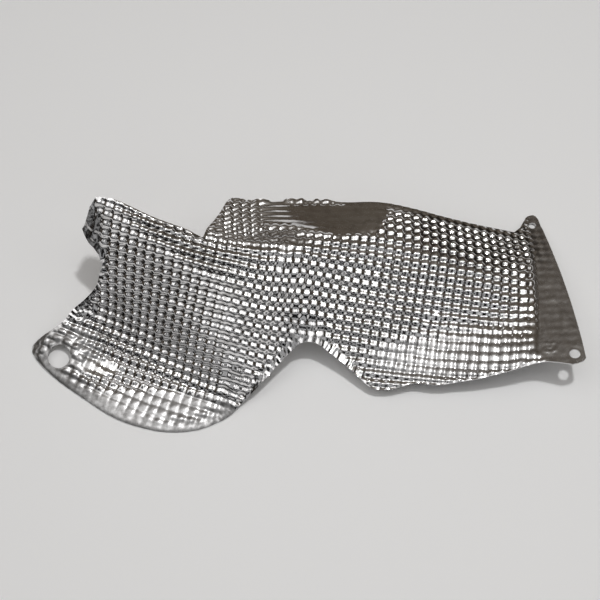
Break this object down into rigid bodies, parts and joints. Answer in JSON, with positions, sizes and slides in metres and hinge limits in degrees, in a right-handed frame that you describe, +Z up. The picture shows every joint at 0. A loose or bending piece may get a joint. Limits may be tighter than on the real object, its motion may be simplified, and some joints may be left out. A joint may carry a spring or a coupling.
{
  "type": "exhaust heat shield",
  "caption": "Embossed aluminium exhaust heat shield, one pressed sheet with a dished lobe, a folded hood with an arched relief, and a flat bolted end flange.",
  "frame": {"origin": "bottom centre of the bounding box, on the floor the sheet lies on", "axes": "+X along the shield from the lobe to the bolted end flange, +Y to the folded back edge, +Z up as the sheet lies at rest"},
  "size_m": [0.3648, 0.1629, 0.0784],
  "materials": {
    "aluminium_sheet": "embossed semi-bright mill finish, crumpled and scuffed"
  },
  "bodies": {
    "root": {"heat_shield": "aluminium_sheet"}
  },
  "joints": []
}
